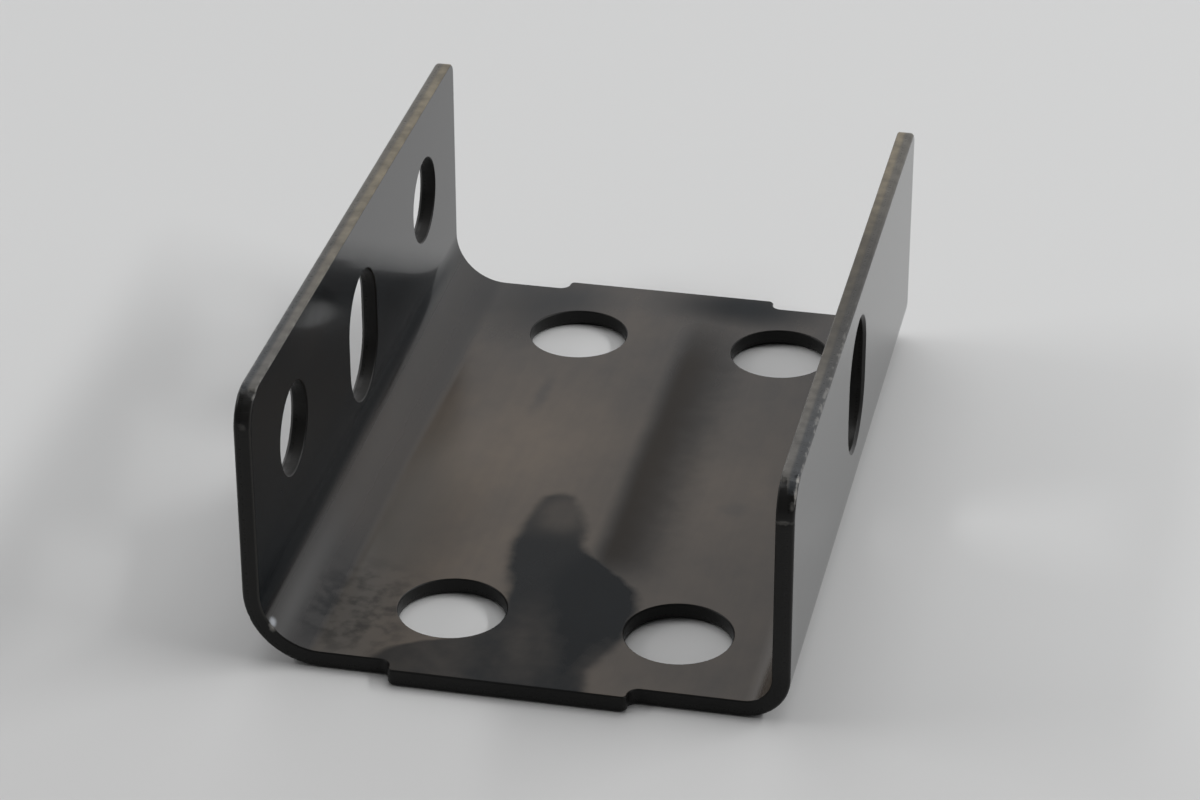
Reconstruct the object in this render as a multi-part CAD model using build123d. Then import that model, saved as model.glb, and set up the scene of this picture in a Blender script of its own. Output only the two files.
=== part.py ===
from build123d import *
import os

# Stamped steel bracket: one folded channel of sheet with bolt holes and two upright slots.
#
# Millimetres. +X runs from the tall flange to the short one, +Y runs along the folds and +Z
# points up out of the channel. The origin lies under the middle of the base, on the plane
# that the bracket stands on.
#
# The press blanked and pierced the sheet from the side that became the outside, so every cut
# edge is drawn over on the outer skin and broke out nearly sharp on the inner skin.

# Sheet and its cut edges
sheet_thickness = 2.0
outline_rollover = 0.45
hole_mouth_chamfer = 0.35
inner_edge_break = 0.15

# Folded channel, over its outer faces
channel_width = 60.0
channel_length = 88.5
tall_flange_height = 32.4
short_flange_height = 28.6
tall_fold_inner_radius = 6.4
short_fold_inner_radius = 3.0
near_corner_radius = 4.0
far_corner_radius = 1.6

# Locating tab at each end of the base, in the plane of the base
tab_width = 26.3
tab_reach = 1.9
tab_offset_x = -0.4
tab_root_radius = 1.2
tab_nose_radius = 0.6

# Four bolt holes in the base, on a rectangle
base_hole_diameter = 12.0
base_hole_spacing_x = 25.4
base_hole_spacing_y = 65.2
base_hole_offset_x = 3.1

# Two bolt holes in the tall flange, one near each end
flange_hole_diameter = 10.5
flange_hole_spacing = 57.6
flange_hole_height = 20.5

# One upright slot in each flange, in line across the channel
slot_width = 11.8
slot_height = 16.0
slot_clear_of_fold = 0.5

# Where the faces of the folded sheet lie
left_face = -channel_width / 2
right_face = channel_width / 2
far_end = channel_length / 2
tall_fold_outer_radius = tall_fold_inner_radius + sheet_thickness
short_fold_outer_radius = short_fold_inner_radius + sheet_thickness
slot_middle_height = tall_fold_outer_radius + slot_clear_of_fold + slot_height / 2

# Looking in on the tall flange: x along the channel, y up, z into the sheet
TALL_FLANGE = Plane(origin=(left_face, 0, 0), x_dir=(0, 1, 0), z_dir=(1, 0, 0))
FAR_END = Plane.XZ.offset(-far_end)
MATCH = 1e-4


def folded_sheet():
    """The plain channel: an open U with its own radius in each fold, drawn along the folds."""
    section = make_face(
        Polyline(
            (left_face, 0),
            (right_face, 0),
            (right_face, short_flange_height),
            (right_face - sheet_thickness, short_flange_height),
            (right_face - sheet_thickness, sheet_thickness),
            (left_face + sheet_thickness, sheet_thickness),
            (left_face + sheet_thickness, tall_flange_height),
            (left_face, tall_flange_height),
            close=True,
        )
    )
    for fold_side, skin_height, radius in (
        (left_face, 0, tall_fold_outer_radius),
        (left_face + sheet_thickness, sheet_thickness, tall_fold_inner_radius),
        (right_face, 0, short_fold_outer_radius),
        (right_face - sheet_thickness, sheet_thickness, short_fold_inner_radius),
    ):
        corner = section.vertices().sort_by_distance((fold_side, skin_height))[0]
        section = fillet(corner, radius=radius)
    return extrude(FAR_END * section, amount=channel_length)


def round_flange_corners(channel):
    """Round the free corners of both flanges: fully at the near end, lightly at the far end."""
    for end, radius in ((-1, near_corner_radius), (1, far_corner_radius)):
        across = channel.edges().filter_by(Axis.X).filter_by(lambda edge: edge.center().Y * end > 0)
        corners = across.filter_by(lambda edge: edge.center().Z > sheet_thickness + MATCH)
        channel = fillet(corners, radius=radius)
    return channel


def add_tabs(channel):
    """Join on a flat blank that runs from nose to nose, and round the roots of its tabs."""
    blank = RectangleRounded(tab_width, channel_length + 2 * tab_reach, tab_nose_radius)
    channel += extrude(Pos(X=tab_offset_x) * blank, amount=sheet_thickness)
    through_base = channel.edges().filter_by(Axis.Z).filter_by_position(Axis.Z, 0, sheet_thickness)
    roots = through_base.filter_by(lambda edge: abs(abs(edge.center().Y) - far_end) < MATCH)
    return fillet(roots, radius=tab_root_radius)


def base_hole_punches():
    holes = GridLocations(base_hole_spacing_x, base_hole_spacing_y, 2, 2)
    round_holes = Sketch() + [place * Circle(base_hole_diameter / 2) for place in holes]
    return extrude(Pos(X=base_hole_offset_x) * round_holes, amount=sheet_thickness)


def flange_hole_punches():
    holes = GridLocations(flange_hole_spacing, 0, 2, 1)
    round_holes = Sketch() + [place * Circle(flange_hole_diameter / 2) for place in holes]
    return extrude(TALL_FLANGE * Pos(Y=flange_hole_height) * round_holes, amount=sheet_thickness)


def slot_punch():
    """One punch through both flanges, which keeps the two slots in line."""
    slot = Rot(Z=90) * SlotOverall(slot_height, slot_width)
    return extrude(TALL_FLANGE * Pos(Y=slot_middle_height) * slot, amount=channel_width)


def skin_faces(part, depth):
    """Faces of the skin that lies this deep in the sheet: 0 outside, the thickness inside."""
    fold_radii = (tall_fold_outer_radius - depth, short_fold_outer_radius - depth)

    def on_skin(face):
        if face.geom_type == GeomType.CYLINDER:
            along_fold = face.bounding_box().size.Y > channel_length / 2
            return along_fold and min(abs(face.radius - radius) for radius in fold_radii) < MATCH
        middle = face.center()
        on_flange = abs(abs(middle.X) - (channel_width / 2 - depth)) < MATCH
        on_base = abs(middle.Z - depth) < MATCH
        return on_flange or on_base

    return part.faces().filter_by(on_skin)


def outline(part, depth):
    """Edges where one skin ends all round the sheet. Its folds, which two faces share, don't."""
    edges = skin_faces(part, depth).edges()
    return edges.filter_by(lambda edge: sum(edge.is_same(other) for other in edges) == 1)


def hole_mouths(part, depth):
    """Edges of the holes and slots in one skin."""
    mouths = [wire for face in skin_faces(part, depth) for wire in face.inner_wires()]
    return [edge for wire in mouths for edge in wire.edges()]


def blank_and_fold():
    sheet = add_tabs(round_flange_corners(folded_sheet()))
    sheet = fillet(outline(sheet, 0), radius=outline_rollover)
    return chamfer(outline(sheet, sheet_thickness), length=inner_edge_break)


def pierce(sheet):
    sheet -= base_hole_punches() + flange_hole_punches() + slot_punch()
    sheet = chamfer(hole_mouths(sheet, 0), length=hole_mouth_chamfer)
    return chamfer(hole_mouths(sheet, sheet_thickness), length=inner_edge_break)


os.makedirs("parts", exist_ok=True)
export_step(pierce(blank_and_fold()), "parts/bracket.step")
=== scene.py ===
"""Dresses the folded steel bracket: its oiled skin, sheared edges, stain and scuffed corners, with
painted reflection, sheen and glints.
"""
import math

import bmesh
import bpy
from mathutils import Matrix, Quaternion, Vector, noise


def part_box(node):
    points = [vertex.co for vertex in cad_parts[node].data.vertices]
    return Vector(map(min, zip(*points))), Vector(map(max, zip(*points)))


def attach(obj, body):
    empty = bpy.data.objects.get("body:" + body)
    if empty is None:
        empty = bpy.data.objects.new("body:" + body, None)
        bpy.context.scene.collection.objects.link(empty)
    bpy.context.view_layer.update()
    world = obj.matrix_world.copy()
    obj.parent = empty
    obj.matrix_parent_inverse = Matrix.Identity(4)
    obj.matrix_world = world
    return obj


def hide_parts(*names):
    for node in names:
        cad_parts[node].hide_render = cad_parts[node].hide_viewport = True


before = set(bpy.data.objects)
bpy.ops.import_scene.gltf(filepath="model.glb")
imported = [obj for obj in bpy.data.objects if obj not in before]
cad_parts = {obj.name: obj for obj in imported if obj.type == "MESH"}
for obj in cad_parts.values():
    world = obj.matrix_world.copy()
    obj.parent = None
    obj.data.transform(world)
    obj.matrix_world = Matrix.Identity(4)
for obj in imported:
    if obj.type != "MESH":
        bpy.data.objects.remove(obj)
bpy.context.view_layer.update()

MM = 0.001

# ---------------------------------------------------------------- sizes of the folded sheet, in mm
THICKNESS = 2.0
TALL_FOLD_RADIUS = 8.4
SHORT_FOLD_RADIUS = 5.0
TAB_REACH = 1.9
CORNER_RADIUS = 4.0
SHORT_DROP = 3.8

sheet_low, sheet_high = (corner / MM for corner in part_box("bracket"))
RIGHT = sheet_high.x
LEFT = sheet_low.x
NEAR_END = sheet_low.y + TAB_REACH
TALL_TOP = sheet_high.z
SHORT_TOP = TALL_TOP - SHORT_DROP
TALL_FOLD = (LEFT + TALL_FOLD_RADIUS, TALL_FOLD_RADIUS)
SHORT_FOLD = (RIGHT - SHORT_FOLD_RADIUS, SHORT_FOLD_RADIUS)


def depth_in_sheet(x, z):
    """Millimetres below the outer skin: 0 outside, the thickness on the inner skin."""
    tall = TALL_FOLD_RADIUS - math.hypot(max(TALL_FOLD[0] - x, 0), max(TALL_FOLD[1] - z, 0))
    short = SHORT_FOLD_RADIUS - math.hypot(max(x - SHORT_FOLD[0], 0), max(SHORT_FOLD[1] - z, 0))
    return min(tall, short)


# ---------------------------------------------------------------- shader arithmetic
def paint(red, green, blue):
    return (red, green, blue, 1.0)


def draw_curve(mapping, points):
    """Draws the line of a curve node through points that run from 0 to 1."""
    line = mapping.curves[0].points
    for place in points[1:-1]:
        line.new(*place)
    line[0].location = points[0]
    line[len(line) - 1].location = points[-1]
    for point in line:
        point.handle_type = "AUTO_CLAMPED"
    mapping.update()


class Value:
    """A socket in a node tree. Arithmetic on values adds the nodes that work it out."""

    def __init__(self, tree, socket=None):
        self.tree = tree
        self.socket = socket

    def node(self, kind, settings=None, inputs=None, output=0):
        """Adds a node: first its settings, then the number, colour or value of each socket."""
        made = self.tree.nodes.new("ShaderNode" + kind)
        for name, setting in (settings or {}).items():
            if name == "points":
                draw_curve(made.mapping, setting)
            else:
                setattr(made, name, setting)
        for name, given in (inputs or {}).items():
            if isinstance(given, Value):
                self.tree.links.new(given.socket, made.inputs[name])
            else:
                made.inputs[name].default_value = given
        return Value(self.tree, made.outputs[output]) if made.outputs else made

    def math(self, operation, *others):
        inputs = dict(enumerate((self, *others)))
        return self.node("Math", {"operation": operation}, inputs)

    def __add__(self, other):
        return self.math("ADD", other)

    def __sub__(self, other):
        return self.math("SUBTRACT", other)

    def __mul__(self, other):
        return self.math("MULTIPLY", other)

    def __truediv__(self, other):
        return self.math("DIVIDE", other)

    def __rsub__(self, other):
        return self.node("Math", {"operation": "SUBTRACT"}, {0: other, 1: self})

    __radd__ = __add__
    __rmul__ = __mul__

    def larger(self, other):
        return self.math("MAXIMUM", other)

    def smaller(self, other):
        return self.math("MINIMUM", other)

    def clamped(self):
        return self.node("Math", {"operation": "ADD", "use_clamp": True}, {0: self, 1: 0.0})

    def step(self, start, end):
        """0 at start and 1 at end, eased between them, whichever of the two is larger."""
        if end < start:
            return 1 - self.step(end, start)
        settings = {"interpolation_type": "SMOOTHSTEP"}
        return self.node("MapRange", settings, {"Value": self, "From Min": start, "From Max": end})

    def traced(self, points):
        """Follows a smooth line drawn through points: each says how high the line is where."""
        starts, heights = zip(*points)
        start, long = starts[0], starts[-1] - starts[0]
        low, high = min(heights), max(heights)
        inputs = {"Value": self, "From Min": start, "From Max": start + long}
        along = self.node("MapRange", {}, inputs)
        drawn = [((here - start) / long, (height - low) / (high - low)) for here, height in points]
        return low + (high - low) * self.node("FloatCurve", {"points": drawn}, {"Value": along})

    def mix(self, first, second):
        """The colour that lies this far from the first colour to the second."""
        return self.node("Mix", {"data_type": "RGBA"}, {0: self, 6: first, 7: second}, output=2)


def length(across, along):
    return (across * across + along * along).math("SQRT")


class Finish(Value):
    """A new material that knows the place on the piece in millimetres."""

    def __init__(self, name):
        self.material = bpy.data.materials.new(name)
        self.material.use_nodes = True
        super().__init__(self.material.node_tree)
        self.tree.nodes.clear()
        metres = self.node("TexCoord", output="Object")
        self.place = self.node("VectorMath", {"operation": "SCALE"}, {0: metres, "Scale": 1 / MM})
        self.x, self.y, self.z = (
            self.node("SeparateXYZ", {}, {0: self.place}, axis) for axis in range(3)
        )

    def noise(self, size, detail, stretch=(1, 1, 1), shift=0.0):
        """Even noise round 0.5, in lumps this many millimetres across, drawn out by stretch."""
        scale = tuple(1 / (size * drawn_out) for drawn_out in stretch)
        inputs = {"Vector": self.place, "Location": (shift, shift, shift), "Scale": scale}
        lumps = self.node("Mapping", {}, inputs)
        return self.node("TexNoise", {}, {"Vector": lumps, "Scale": 1.0, "Detail": detail})

    def depth(self):
        """The same depth in the sheet as depth_in_sheet, worked out by nodes."""
        tall = length((TALL_FOLD[0] - self.x).larger(0.0), (TALL_FOLD[1] - self.z).larger(0.0))
        short = length((self.x - SHORT_FOLD[0]).larger(0.0), (SHORT_FOLD[1] - self.z).larger(0.0))
        return (TALL_FOLD_RADIUS - tall).smaller(SHORT_FOLD_RADIUS - short)

    def spot(self, place, oval):
        """1 inside an oval on the base and 0 outside it."""
        middle, reach, soft = oval
        far = length((place[0] - middle[0]) / reach[0], (place[1] - middle[1]) / reach[1])
        return far.step(1 + soft, 1 - soft)

    def mark(self, middle, reach, ragged, soft):
        """1 inside an egg shape at a place on the piece and 0 outside it."""
        far = length((self.x - middle[0]) / reach[0], (self.y - middle[1]) / reach[1])
        far = length(far, (self.z - middle[2]) / reach[2])
        return (far + ragged).step(1 + soft, 1 - soft)

    def bump(self, height, deep):
        """A normal for a height of 0 to 1 that stands this many millimetres deep."""
        return self.node("Bump", {}, {"Height": height, "Distance": deep * MM})

    def shader(self, **sockets):
        inputs = {name.replace("_", " "): given for name, given in sockets.items()}
        return self.node("BsdfPrincipled", {}, inputs)

    def finish(self, shader):
        self.node("OutputMaterial", {}, {"Surface": shader})
        return self.material


# ---------------------------------------------------------------- marks and colours of the skin
# In the finishes, a step runs between two places in mm along x, y, z or the depth in the sheet,
# or between two levels of a pattern. Every other number is a share or a strength.

# Where the oil stain ends, from the near edge to its lobe: (y, x) along its left and right side
STAIN_LEFT = (
    (-47.0, -17.0), (-42.5, -15.2), (-39.8, -11.5), (-36.9, -5.8), (-32.0, -4.2), (-28.5, -4.4),
    (-24.9, -5.1), (-21.6, -5.8), (-17.8, -6.3), (-14.7, -6.0), (-11.3, -5.7), (-7.6, -5.0),
    (-6.0, -3.6),
)
STAIN_RIGHT = (
    (-47.0, 8.6), (-43.0, 7.9), (-39.8, 8.5), (-37.1, 9.7), (-31.6, 10.3), (-28.6, 10.4),
    (-26.0, 9.8), (-23.5, 8.3), (-21.4, 6.4), (-19.9, 4.5), (-18.1, 2.6), (-16.4, 1.6),
    (-14.3, 1.3), (-11.7, 0.9), (-8.9, -0.3), (-6.0, -1.8),
)

# Ovals on the base: middle (x, y) and reach in mm, and how soft the rim is
STAIN_LOBE = ((-1.9, -10.6), (2.5, 3.4), 0.6)
STAIN_CORE = ((5.2, -29.0), (4.4, 9.5), 0.7)
STAIN_HAZE = ((0.4, -37.5), (3.0, 8.0), 0.7)
STAIN_SIDE_HAZE = ((8.6, -40.5), (2.2, 4.4), 0.6)
SMUDGES = ((-20.5, -35.0), (7.5, 8.0), 0.7)
FAR_PATCH = ((9.5, 43.4), (7.4, 4.2), 0.8)
# the far left patch is partly painted shadow and partly film
FAR_LEFT_SHADE_AND_FILM = ((-15.5, 39.0), (6.5, 8.0), 0.8)
PALE_PATCH = ((-13.0, 5.0), (8.0, 11.0), 0.8)
RED_BROWN_SPOT = ((17.1, -5.5), (1.6, 1.2), 0.7)
DARK_STREAK = ((-10.7, 16.3), (0.8, 4.0), 0.8)

# Egg shapes on the tall flange and in its fold: middle and reach in mm
THUMB_MARK = ((-28.0, -15.5, 28.6), (3.0, 8.0, 2.6))
FOLD_GLINT = ((-26.9, NEAR_END + 0.7, 4.7), (0.4, 0.6, 0.4))

# The tall flange's inner face is painted dark below this line, a painted reflection of the dark
# base: its height over the middle of the bracket, and its fall
REFLECTION_LINE_HEIGHT = 26.7
REFLECTION_LINE_FALL = 0.542

DARK_MILL_SKIN = paint(0.008, 0.008, 0.0085)
BROWN_BLOOM = paint(0.104, 0.078, 0.054)
GREY_DUST = paint(0.119, 0.116, 0.110)
PAINTED_FOLD_SHEEN = paint(0.102, 0.101, 0.099)
PAINTED_GLINT_GREY = paint(0.42, 0.44, 0.47)
THIN_OIL = paint(0.0025, 0.0042, 0.0058)
THICK_OIL = paint(0.0062, 0.0095, 0.0122)
BROWN_FILM = paint(0.024, 0.0175, 0.0115)

DRY_FILM_IOR = 1.4
WET_FILM_IOR = 1.18
SKIN_GRAIN_DEPTH = 0.004


def oil_stain(skin, place, rubs):
    """How wet the base is where oil crept in from the near edge, and in the lobe ahead of it."""
    x, y = place
    left = (x - y.traced(STAIN_LEFT)).step(-0.8, 0.9)
    right = (y.traced(STAIN_RIGHT) - x).step(-0.8, 1.0)
    ahead = y.step(-5.3, -7.3)
    flare = 0.9 * x.step(-3.0, -7.0) * y.step(-33.0, -38.0)
    haze = skin.spot(place, STAIN_HAZE).larger(skin.spot(place, STAIN_SIDE_HAZE)) + flare
    level = 0.8 + 0.14 * y.step(-13.5, -17.5) - 0.32 * skin.spot(place, STAIN_LOBE)
    level = level + 0.16 * skin.spot(place, STAIN_CORE) - 0.2 * haze
    level = level - 0.3 * (rubs - 0.5) * y.step(-24.0, -36.0)
    return left * right * ahead * level


def brown_bloom(skin, place, far_left_shade_and_film, mottle, drawn):
    """How brown the dried film is on the base."""
    x, y = skin.x, skin.y
    cloud = skin.noise(15, detail=3, shift=4.0)
    bloom = 0.70 + 0.36 * (cloud - 0.5) + 0.44 * (mottle - 0.5) + 0.16 * (drawn - 0.5)
    bloom = bloom + 0.16 * skin.spot(place, PALE_PATCH) - 0.3 * skin.spot(place, DARK_STREAK)
    bloom = bloom - 0.14 * skin.spot(place, RED_BROWN_SPOT) - 0.2 * far_left_shade_and_film
    # it is less brown towards the far end and the right, and more brown beside the tall fold in the
    # near half
    bloom = bloom - 0.34 * y.step(4.0, 36.0) - 0.1 * y.step(35.0, 43.0) - 0.08 * x.step(6.0, 14.0)
    bloom = bloom - 0.14 * x.step(8.0, 18.0) * y.step(-6.0, -20.0)
    return bloom + 0.14 * x.step(-14.0, -19.0) * y.step(16.0, 2.0)


def oiled_skin():
    """Dark mill skin: a brown bloom on the base, streaks along the folds, oil stains and scuffs,
    with a painted dark reflection on the tall flange and painted sheen and glint in its fold.
    """
    skin = Finish("oiled_skin")
    x, y, z = skin.x, skin.y, skin.z
    inside = skin.depth().step(0.8, 1.2)
    flat = z.step(3.6, 2.2) * inside
    low = z.step(6.8, 4.4) * inside

    grain = skin.noise(0.4, detail=3)
    mottle = skin.noise(3.2, detail=4, stretch=(1, 1.7, 1))
    drawn = skin.noise(1.3, detail=3, stretch=(1, 28, 1))
    rubs = skin.noise(2.2, detail=5, shift=30.0)
    smear = skin.noise(2.4, detail=2, shift=11.0) - 0.5
    warp = skin.noise(7, detail=2, shift=21.0) - 0.5
    wavy = (x + smear * 1.1 + warp * 0.8, y + smear * 0.9 - warp * 0.8)

    # wet or dull places on the base: the stain, a band along the folds, patches and smudges; the far
    # left patch is partly painted shadow
    stain = oil_stain(skin, wavy, rubs)
    band = (x + warp * 0.7).step(2.2, 5.2) * (x + smear * 2.0).step(14.0, 5.2)
    band = band * y.step(46.0, 26.0) * y.step(-27.0, -17.0)
    far_left_shade_and_film = skin.spot(wavy, FAR_LEFT_SHADE_AND_FILM)
    smudges = skin.spot(wavy, SMUDGES) * rubs.step(0.4, 0.66) * z.step(3.6, 2.4) * inside
    wet_and_painted_shade = stain.larger(skin.spot(wavy, FAR_PATCH)).larger(band * 0.95) * flat
    wet_and_painted_shade = wet_and_painted_shade.larger(far_left_shade_and_film * 0.45 * flat).larger(smudges * 0.55)

    # the tall flange's inner face is painted dark below a straight line, a painted reflection of the
    # dark base, apart from a thumb mark on that line
    below_reflection_line = (z + REFLECTION_LINE_FALL * y - REFLECTION_LINE_HEIGHT).step(3.5, -1.5)
    thumbed = skin.mark(*THUMB_MARK, ragged=(rubs - 0.5) * 1.2, soft=0.9)
    painted_dark_reflection = below_reflection_line * inside * z.step(5.4, 6.8) * x.step(-20.0, -24.0)
    wet_and_painted_shade = wet_and_painted_shade + 0.8 * painted_dark_reflection * (1 - 0.5 * thumbed)

    # the bloom ends in the tall fold, which is dusty, with a painted sheen strip along its near half
    # and a painted glint at its near end
    bloom = brown_bloom(skin, wavy, far_left_shade_and_film, mottle, drawn)
    bloom = bloom * (1 - 0.6 * band) * (0.26 + 0.74 * x.step(-23.0, -21.4))
    bloom = bloom - 0.16 * x.step(-15.0, -21.0) * y.step(-12.0, -28.0)
    bloom = (bloom * z.step(6.4, 4.6) * inside).clamped()
    dusty = x.step(-12.0, -20.5) * x.step(-23.2, -21.4) * y.step(20.0, -10.0) * low
    rub_and_painted_sheen = z.step(2.6, 4.4) * z.step(6.1, 5.3) * x.step(-20.0, -24.0) * y.step(-10.0, -40.0)
    painted_glint = skin.mark(*FOLD_GLINT, ragged=(rubs - 0.5) * 2.0, soft=0.8)
    dry = bloom.mix(DARK_MILL_SKIN, BROWN_BLOOM)
    dry = (0.6 * dusty).mix(dry, GREY_DUST)
    dry = (0.7 * rub_and_painted_sheen * inside).mix(dry, PAINTED_FOLD_SHEEN)
    dry = painted_glint.mix(dry, PAINTED_GLINT_GREY)

    rough = 0.09 + 0.24 * low - 0.09 * flat + 0.06 * (mottle - 0.5) * low
    relief = skin.bump(0.5 * grain + 0.5 * drawn, SKIN_GRAIN_DEPTH)
    dry_film = skin.shader(Base_Color=dry, Roughness=rough, Normal=relief, IOR=DRY_FILM_IOR)
    oil = (band * (1 - stain).clamped()).mix(mottle.mix(THIN_OIL, THICK_OIL), BROWN_FILM)
    wet_rough = 0.2 + 0.1 * mottle
    wet_film = skin.shader(Base_Color=oil, Roughness=wet_rough, Normal=relief, IOR=WET_FILM_IOR)
    covered = skin.node("MixShader", {}, {0: wet_and_painted_shade.clamped(), 1: dry_film, 2: wet_film})
    return skin.finish(covered)


# ---------------------------------------------------------------- marks and colours of the cut edge
# The nick in the short flange's near end: middle and reach in mm
NICK = ((28.95, NEAR_END, 24.5), (0.75, 0.6, 0.22))

# Small bright spots at the near end, chips of bare metal and painted glints: middle and reach in mm,
# and how bright each is
GLINTS_AND_BARE_CHIPS = (
    ((29.85, NEAR_END + 2.75, 28.35), (0.22, 0.5, 0.4), 1.0),
    ((29.85, NEAR_END + 1.2, 27.4), (0.1, 0.9, 1.0), 0.9),
    ((29.65, NEAR_END + 0.3, 26.5), (0.24, 0.4, 0.5), 0.3),
    ((-28.08, NEAR_END + 1.9, 32.0), (0.2, 0.5, 0.4), 0.6),
    ((-28.9, NEAR_END, 29.0), (0.4, 0.4, 0.35), 0.16),
    ((-26.6, NEAR_END, 4.6), (0.45, 0.4, 0.5), 0.8),
)

# The rubbing and painted sheen of the tops start this far below them and are full this far below
# them
TOP_RUB_AND_SHEEN = (2.4, 1.4)

CUT_BASE = paint(0.0085, 0.0085, 0.008)
CUT_FLANGE = paint(0.0135, 0.0132, 0.0125)
BLUE_GREY_WORN_SHEEN = paint(0.046, 0.050, 0.054)
GREY_WORN_SHEEN = paint(0.128, 0.122, 0.112)
BROWN_WORN_SHEEN = paint(0.112, 0.104, 0.088)
STRAW_WORN_SHEEN = paint(0.21, 0.18, 0.128)
BARE_STEEL_AND_GLINT = paint(0.33, 0.32, 0.30)

CUT_EDGE_IOR = 1.3
TEAR_DEPTH = 0.018


def rubbed_and_sheen_tops(edge, short_side, ragged):
    """The flange tops, worn and painted with sheen, as far as the near corners, a little further on
    the short flange.
    """
    start, end = TOP_RUB_AND_SHEEN
    top = short_side * edge.z.step(SHORT_TOP - start, SHORT_TOP - end)
    top = top + (1 - short_side) * edge.z.step(TALL_TOP - start, TALL_TOP - end)
    further = 1.3 * short_side * edge.depth().step(1.4, 1.0)
    return top * (edge.y + 1.6 * ragged + further).step(NEAR_END + 2.2, NEAR_END + 3.0)


def bare_metal_and_glints(edge, short_side, ragged, top):
    """Bright metal in the nick, on the bruised rims and in the small chips round them, several of
    which are painted glints, and a painted highlight down the tall flange's inner rim.
    """
    depth = edge.depth()
    bare_and_glint = edge.mark(*NICK, ragged=ragged * 2.6, soft=0.6) * 0.36
    for middle, reach, bright in GLINTS_AND_BARE_CHIPS:
        bare_and_glint = bare_and_glint.larger(edge.mark(middle, reach, ragged=ragged * 1.8, soft=0.5) * bright)
    bare_and_glint = (bare_and_glint * (0.9 + 1.4 * ragged)).clamped()
    rims = depth.step(0.5, 0.25) + depth.step(1.7, 1.9) * 0.6
    speckle = edge.noise(0.45, detail=3, stretch=(1, 2, 1), shift=3.0).step(0.5, 0.62)
    bare_and_glint = bare_and_glint.larger(rims * top * speckle * 0.36 * edge.y.step(4.0, -20.0))
    # a painted highlight line down the inner rim of the tall flange's near end
    near_face = edge.y.step(NEAR_END + 2.0, NEAR_END + 0.5) * edge.z.step(3.0, 6.0)
    painted_rim_highlight = depth.step(1.7, 1.85) * near_face
    return bare_and_glint.larger(painted_rim_highlight * (1 - short_side) * 0.07)


def sheared_edge():
    """Cut metal: smooth where the punch rubbed it, torn beyond that, rubbed pale along the tops with
    painted sheen, and painted glints at the near corners.
    """
    edge = Finish("sheared_edge")
    x, y, z = edge.x, edge.y, edge.z
    depth = edge.depth()
    torn = (depth + 0.5 * (edge.noise(1.1, detail=2) - 0.5)).step(0.75, 0.95)
    across_flange = edge.noise(0.14, detail=3, stretch=(9, 1, 1))
    across_base = edge.noise(0.14, detail=3, stretch=(1, 1, 9))
    upright = z.step(4.0, 7.0)
    streak = across_flange * upright + across_base * (1 - upright)
    patch = edge.noise(1.6, detail=3, shift=5.0)
    ragged = edge.noise(0.5, detail=3, shift=9.0) - 0.5

    short_side = x.step(-1.0, 1.0)
    top = rubbed_and_sheen_tops(edge, short_side, ragged)
    # the short flange's top gets less rub and painted sheen in its middle
    short_top_middle = 0.6 * short_side * y.step(-26.0, -8.0) * y.step(32.0, 10.0)
    rub_and_painted_sheen = (top * (0.8 + 1.2 * (patch - 0.5)) * (1 - short_top_middle)).clamped()
    bare_and_glint = bare_metal_and_glints(edge, short_side, ragged, top)

    inner_rim = depth.step(0.8, 1.3)
    near_worn_sheen = inner_rim.mix(BLUE_GREY_WORN_SHEEN, GREY_WORN_SHEEN)
    far_worn_sheen = inner_rim.mix(BROWN_WORN_SHEEN, STRAW_WORN_SHEEN)
    worn_and_sheen = y.step(-38.0, 18.0).mix(near_worn_sheen, far_worn_sheen)
    colour = rub_and_painted_sheen.mix(upright.mix(CUT_BASE, CUT_FLANGE), worn_and_sheen)
    colour = bare_and_glint.mix(colour, BARE_STEEL_AND_GLINT)

    # the rolled-over rim is smooth, and only the cut face has streaks
    cut_face = depth.step(0.4, 0.9)
    rough = 0.28 + 0.14 * torn + 0.2 * (streak - 0.5) * cut_face + 0.1 * bare_and_glint
    relief = edge.bump(streak * (0.35 + 0.65 * torn) * cut_face - 0.5 * torn, TEAR_DEPTH)
    cut = edge.shader(Base_Color=colour, Roughness=rough, Normal=relief, IOR=CUT_EDGE_IOR)
    return edge.finish(cut)


# ---------------------------------------------------------------- bruised corners
# Where the near corner of each flange is knocked: middle, reach and depth of each dent, in mm
DENTS = {
    "short": (
        ((29.0, NEAR_END, 24.55), (1.05, 0.6, 0.22), 0.13),
        ((29.75, NEAR_END + 0.45, 26.4), (0.55, 0.7, 0.5), 0.16),
        ((29.8, NEAR_END + 2.9, 28.4), (0.6, 0.5, 0.6), 0.2),
        ((28.3, NEAR_END + 2.2, 28.2), (0.6, 0.7, 0.7), 0.16),
        ((29.9, NEAR_END + 1.5, 27.6), (0.4, 0.5, 0.5), 0.12),
    ),
    "tall": (
        ((-28.2, NEAR_END + 2.3, 32.1), (0.6, 0.7, 0.6), 0.18),
        ((-29.5, NEAR_END + 2.7, 32.3), (0.7, 0.5, 0.5), 0.12),
        ((-29.0, NEAR_END + 0.3, 29.0), (0.5, 0.5, 0.4), 0.1),
        ((-28.7, NEAR_END + 0.9, 30.6), (0.6, 0.5, 0.5), 0.1),
    ),
}
# How finely a corner is cut, and how far the cuts reach past its rounding and clear of the sheet
GRID = 0.28
PAST_CORNER = 0.7
CLEARANCE = 0.2
FLANGE_ACROSS = {"short": (27.4, 30.6), "tall": (-30.6, -27.4)}
FLANGE_TOP = {"short": SHORT_TOP, "tall": TALL_TOP}

# How deep its lumps are, how many there are in a mm, and how far from its end they fade away
LUMP_DEPTH = 0.05
LUMPS_PER_MM = 1.3
FADE = 0.8

# What still counts as on the rounding, at a level, and outside the middle of the rounding
ON_ARC = 0.003
TOUCH = 0.01
OUTER_PART = 3
SAME_PLANE = 1e-7


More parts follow.
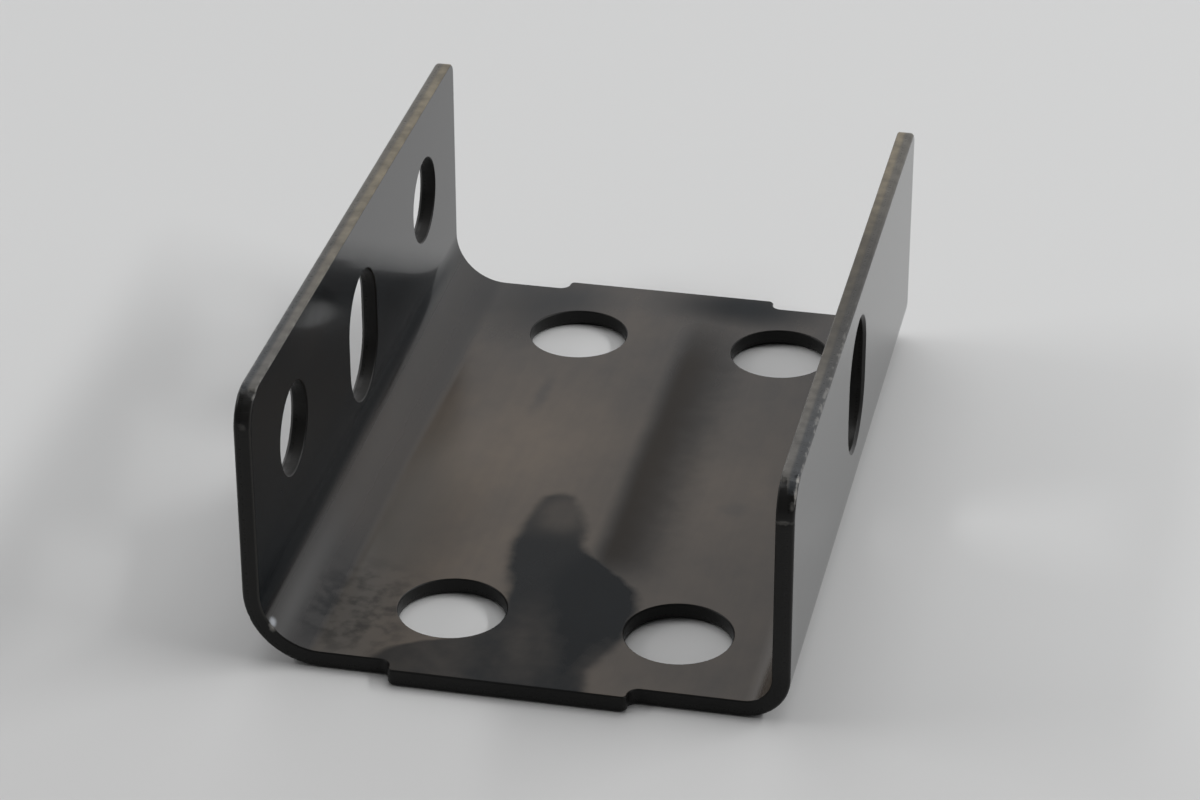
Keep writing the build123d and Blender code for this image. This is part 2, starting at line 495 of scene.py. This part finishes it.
def knocked_region(side):
    """The box round a flange's near corner, in mm, and the axis that the corner is rounded on."""
    top = FLANGE_TOP[side]
    left, right = FLANGE_ACROSS[side]
    low = Vector((left, NEAR_END - CLEARANCE, top - CORNER_RADIUS - PAST_CORNER))
    high = Vector((right, NEAR_END + CORNER_RADIUS + PAST_CORNER, top + CLEARANCE))
    return low, high, Vector((0, NEAR_END + CORNER_RADIUS, top - CORNER_RADIUS))


def faces_in(form, low, high, wholly=False):
    """The faces that reach into a box, or those that lie wholly inside it."""
    found = []
    for face in form.faces:
        ends = [(min(v.co[i] for v in face.verts) / MM, max(v.co[i] for v in face.verts) / MM)
                for i in range(3)]
        if wholly:
            hit = all(low[i] - TOUCH < ends[i][0] and ends[i][1] < high[i] + TOUCH for i in range(3))
        else:
            hit = all(low[i] + TOUCH < ends[i][1] and ends[i][0] < high[i] - TOUCH for i in range(3))
        if hit:
            found.append(face)
    return found


def cut_faces(form, faces, axis, level):
    """Cuts faces along a plane that stands across an axis at this level."""
    edges = {edge for face in faces for edge in face.edges}
    verts = {vert for face in faces for vert in face.verts}
    place = [0, 0, 0]
    place[axis] = level * MM
    way = [0, 0, 0]
    way[axis] = 1
    bmesh.ops.bisect_plane(
        form, geom=[*verts, *edges, *faces], dist=SAME_PLANE, plane_co=place, plane_no=way
    )


def bends_of_arc(form, low, high, arc):
    """The angles at which the rounding, which is made of flat strips, bends, in degrees."""
    bends = set()
    for vert in form.verts:
        x, y, z = (along / MM for along in vert.co)
        radius = math.hypot(z - arc.z, arc.y - y)
        if low.x < x < high.x and y < arc.y + TOUCH and abs(radius - CORNER_RADIUS) < ON_ARC:
            bends.add(round(math.degrees(math.atan2(z - arc.z, arc.y - y)), 2))
    return sorted(bends)


def knock_corner(form, side):
    """Cuts a fine grid round a near corner, rounds it truly and presses its dents in."""
    low, high, arc = knocked_region(side)
    bends = bends_of_arc(form, low, high, arc)
    for axis in (1, 2, 0):
        for level in (low[axis], high[axis]):
            cut_faces(form, faces_in(form, low, high), axis, level)
    for axis in range(3):
        count = round((high[axis] - low[axis]) / GRID)
        for number in range(1, count):
            level = low[axis] + (high[axis] - low[axis]) * number / count
            cut_faces(form, faces_in(form, low, high, wholly=True), axis, level)
    knocked = faces_in(form, low, high, wholly=True)
    for vert in {vert for face in knocked for vert in face.verts}:
        place = vert.co / MM
        out = Vector((0, place.y - arc.y, place.z - arc.z))
        turn = math.degrees(math.atan2(out.z, -out.y))
        for start, end in zip(bends, bends[1:]):
            if start < turn < end and out.length > OUTER_PART:
                half = math.radians(end - start) / 2
                offset = math.radians(turn) - math.radians(start + end) / 2
                place += out * (math.cos(offset) / math.cos(half) - 1)
        if turn < 0:
            inward = Vector((0, 1, 0))
        elif turn > 90:
            inward = Vector((0, 0, -1))
        else:
            inward = -out.normalized()
        margin = min(min(place[i] - low[i], high[i] - place[i]) for i in (1, 2))
        fade = min(max(margin / FADE, 0), 1)
        push = LUMP_DEPTH * (0.5 + 0.5 * noise.noise(place * LUMPS_PER_MM)) * fade
        for middle, reach, deep in DENTS[side]:
            away = sum(((place[i] - middle[i]) / reach[i]) ** 2 for i in range(3))
            push += deep * max(0, 1 - away) ** 1.5
        if out.length > OUTER_PART or turn < 0 or turn > 90:
            vert.co = (place + inward * push * on_cut_face(place)) * MM


def on_cut_face(place):
    """1 within the thickness of the sheet and 0 outside it."""
    depth = depth_in_sheet(place.x, place.z)
    return 1.0 if 0.0 <= depth <= THICKNESS else 0.0


def put_in_order(parts, place_of):
    """Orders vertices or faces by place, because the cutter leaves new ones in no set order."""
    ordered = sorted(parts, key=lambda part: tuple(place_of(part)))
    ranks = {part: rank for rank, part in enumerate(ordered)}
    parts.sort(key=ranks.get)


# ---------------------------------------------------------------- the dressed sheet
SKIN, EDGE = 0, 1
SAME_PLACE = 1e-6
FLAT_ANGLE = 0.15
SHARP_ANGLE = 30
RIM_EASE = 0.05
SKIN_DEPTH = 0.03
SMALLEST_FLAT = 0.00005


def whole_form():
    """The CAD form with its triangles joined into flats and its sharp rims eased."""
    form = bmesh.new()
    form.from_mesh(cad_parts["bracket"].data)
    bmesh.ops.remove_doubles(form, verts=form.verts, dist=SAME_PLACE)
    bmesh.ops.dissolve_limit(
        form, angle_limit=math.radians(FLAT_ANGLE), verts=form.verts, edges=form.edges
    )
    rims = [edge for edge in form.edges if edge.calc_face_angle(0) > math.radians(SHARP_ANGLE)]
    bmesh.ops.bevel(
        form, geom=rims, offset=RIM_EASE * MM, offset_type="OFFSET", affect="EDGES",
        segments=2, profile=0.5, material=-1, clamp_overlap=True,
    )
    return form


def dressed_sheet():
    """The whole form with knocked corners, and a finish on each of its faces."""
    form = whole_form()
    knock_corner(form, "short")
    knock_corner(form, "tall")
    put_in_order(form.verts, lambda vert: vert.co)
    put_in_order(form.faces, lambda face: face.calc_center_median())
    for face in form.faces:
        face.smooth = True
        depths = [depth_in_sheet(vert.co.x / MM, vert.co.z / MM) for vert in face.verts]
        on_skin = max(depths) < SKIN_DEPTH or min(depths) > THICKNESS - SKIN_DEPTH
        face.material_index = SKIN if on_skin else EDGE
    mesh = bpy.data.meshes.new("folded_sheet")
    form.to_mesh(mesh)
    form.free()
    piece = bpy.data.objects.new("folded_sheet", mesh)
    bpy.context.scene.collection.objects.link(piece)
    mesh.materials.append(oiled_skin())
    mesh.materials.append(sheared_edge())
    lie_flat = piece.modifiers.new("flat_faces_shade_flat", "WEIGHTED_NORMAL")
    lie_flat.mode = "FACE_AREA"
    lie_flat.weight = 100
    lie_flat.thresh = SMALLEST_FLAT
    lie_flat.keep_sharp = False
    return piece


sheet = dressed_sheet()
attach(sheet, "root")
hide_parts("bracket")


# ---------------------------------------------------------------- floor, lamps, world, camera
FLOOR_HALF_SIDE = 1500
FLOOR_BELOW = 0.02
PALE_FLOOR = paint(0.665, 0.668, 0.665)
SHADED_NEAR_FLOOR = paint(0.60, 0.60, 0.597)
DIM_ROOM = paint(0.10, 0.10, 0.10)
PALE_WALL = paint(0.88, 0.88, 0.89)

# Each lamp's name, the way it stands off, its elevation in degrees, width and height in m, watts
LAMPS = (
    ("right_lamp", (36, 8, 0), 42, 0.75, 0.06, 3.0),
    ("left_lamp", (-36.5, -3, 0), 38, 0.45, 0.10, 1.35),
    ("top_lamp", (0, 1, 0), 72, 0.7, 0.5, 1.8),
)
LAMP_DISTANCE = 0.9
LAMP_AIM = Vector((0, 0, 0.01))

CAMERA_PLACE = Vector((81.33, -378.83, 228.44)) * MM
CAMERA_AIM = Vector((-4.22, 20.06, 0.0)) * MM
CAMERA_ROLL = -0.1047
CAMERA_LENS = 115.05


def studio_floor():
    """A pale floor, a hair below the underside so that the two never share a plane, painted darker
    towards the viewer as painted shade.
    """
    form = bmesh.new()
    under = Matrix.Translation((0, 0, -FLOOR_BELOW * MM))
    half_side = FLOOR_HALF_SIDE * MM
    bmesh.ops.create_grid(form, x_segments=1, y_segments=1, size=half_side, matrix=under)
    mesh = bpy.data.meshes.new("floor")
    form.to_mesh(mesh)
    form.free()
    floor = bpy.data.objects.new("floor", mesh)
    bpy.context.scene.collection.objects.link(floor)
    pale = Finish("pale_floor")
    # painted shade: the floor darkens towards the viewer
    colour = pale.y.step(-18.0, -75.0).mix(PALE_FLOOR, SHADED_NEAR_FLOOR)
    mesh.materials.append(pale.finish(pale.shader(Base_Color=colour, Roughness=0.6)))


def lamp(name, towards, elevation, wide, high, power):
    """A soft panel that stands off in one direction and shines on the bracket."""
    data = bpy.data.lights.new(name, "AREA")
    data.shape = "RECTANGLE"
    data.size = wide
    data.size_y = high
    data.energy = power
    panel = bpy.data.objects.new(name, data)
    bpy.context.scene.collection.objects.link(panel)
    level = Vector(towards).normalized() * math.cos(math.radians(elevation))
    back = Vector((level.x, level.y, math.sin(math.radians(elevation))))
    panel.location = back * LAMP_DISTANCE + LAMP_AIM
    panel.rotation_euler = back.to_track_quat("Z", "Y").to_euler()


def studio_world():
    """A pale room behind the bracket that darkens towards the viewer's side and overhead."""
    world = bpy.data.worlds.new("studio")
    world.use_nodes = True
    start = Value(world.node_tree)
    start.tree.nodes.clear()
    towards = start.node("TexCoord", output="Generated")
    ahead = start.node("SeparateXYZ", {}, {0: towards}, output=1)
    above = start.node("SeparateXYZ", {}, {0: towards}, output=2)
    wall = ahead.step(-0.4, 0.35) * (1 - 0.65 * above.step(0.6, 0.95))
    light = wall.mix(DIM_ROOM, PALE_WALL)
    start.node("OutputWorld", {}, {"Surface": start.node("Background", {}, {"Color": light})})
    bpy.context.scene.world = world


def studio_camera():
    data = bpy.data.cameras.new("camera")
    data.lens = CAMERA_LENS
    data.sensor_width = 36
    data.clip_start = 0.01
    data.clip_end = 10
    camera = bpy.data.objects.new("camera", data)
    bpy.context.scene.collection.objects.link(camera)
    roll = Quaternion((0, 0, 1), math.radians(CAMERA_ROLL))
    camera.rotation_mode = "QUATERNION"
    camera.rotation_quaternion = (CAMERA_PLACE - CAMERA_AIM).to_track_quat("Z", "Y") @ roll
    camera.location = CAMERA_PLACE
    bpy.context.scene.camera = camera


studio_floor()
for setup in LAMPS:
    lamp(*setup)
studio_world()
studio_camera()
bpy.context.scene.view_settings.view_transform = "Standard"
